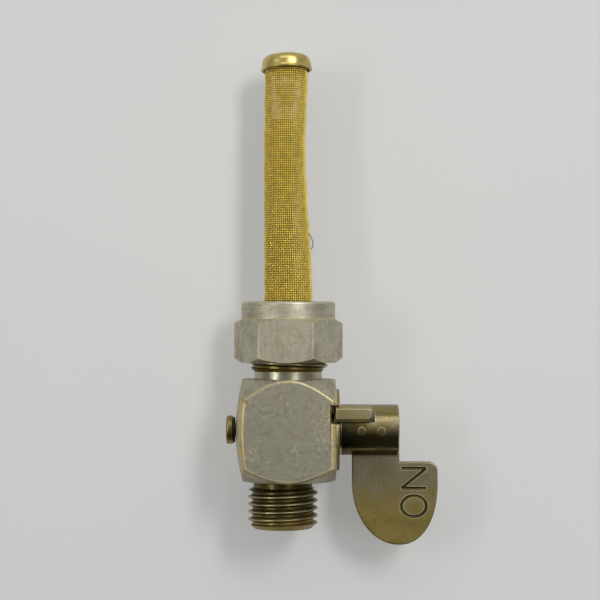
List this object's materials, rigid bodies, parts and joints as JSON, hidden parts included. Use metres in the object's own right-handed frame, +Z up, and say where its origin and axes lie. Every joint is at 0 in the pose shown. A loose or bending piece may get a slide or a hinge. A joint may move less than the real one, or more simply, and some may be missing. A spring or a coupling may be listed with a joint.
{
  "type": "fuel tap",
  "caption": "Fuel tap with a square body, hexagon union nut, gauze strainer with standpipe, threaded outlet, and a taper plug turned by a flat lever.",
  "frame": {"origin": "centre of the union nut's mouth, in the plane of its upper rim", "axes": "+Z up along the strainer, towards the tank; +X along the plug to the lever; -Y out of the plain front face, the side that the picture shows"},
  "size_m": [0.0425, 0.019, 0.0986],
  "materials": {
    "nickel_plate": "dull nickel plate over brass, worn at the edges",
    "patinated_brass": "brown-olive patina over brass",
    "bright_brass": "pressed brass, bright",
    "gauze_brass": "woven brass wire",
    "dark_bronze": "dark, tarnished",
    "dark_steel": "blued spring steel",
    "fibre": "red vulcanised fibre"
  },
  "bodies": {
    "tap_body": {"body": "nickel_plate", "tank_seal_washer": "fibre", "strainer_ferrule": "bright_brass", "strainer_gauze": "gauze_brass", "strainer_cap": "bright_brass", "standpipe": "bright_brass"},
    "union_nut": {"union_nut": "nickel_plate"},
    "plug_and_lever": {"taper_plug": "patinated_brass", "stop_lug": "patinated_brass", "lever_blade": "patinated_brass", "lever_pin_left": "patinated_brass", "lever_pin_right": "patinated_brass", "retaining_screw": "dark_bronze", "spring_washer": "dark_steel"}
  },
  "joints": [
    {"name": "plug_turn", "type": "hinge", "parent": "tap_body", "child": "plug_and_lever", "pos_m": [0, 0, -0.0257], "axis": [1, 0, 0], "range_deg": [0, 180]},
    {"name": "nut_turn", "type": "hinge", "parent": "tap_body", "child": "union_nut", "pos_m": [0, 0, 0], "axis": [0, 0, 1], "continuous": true}
  ]
}
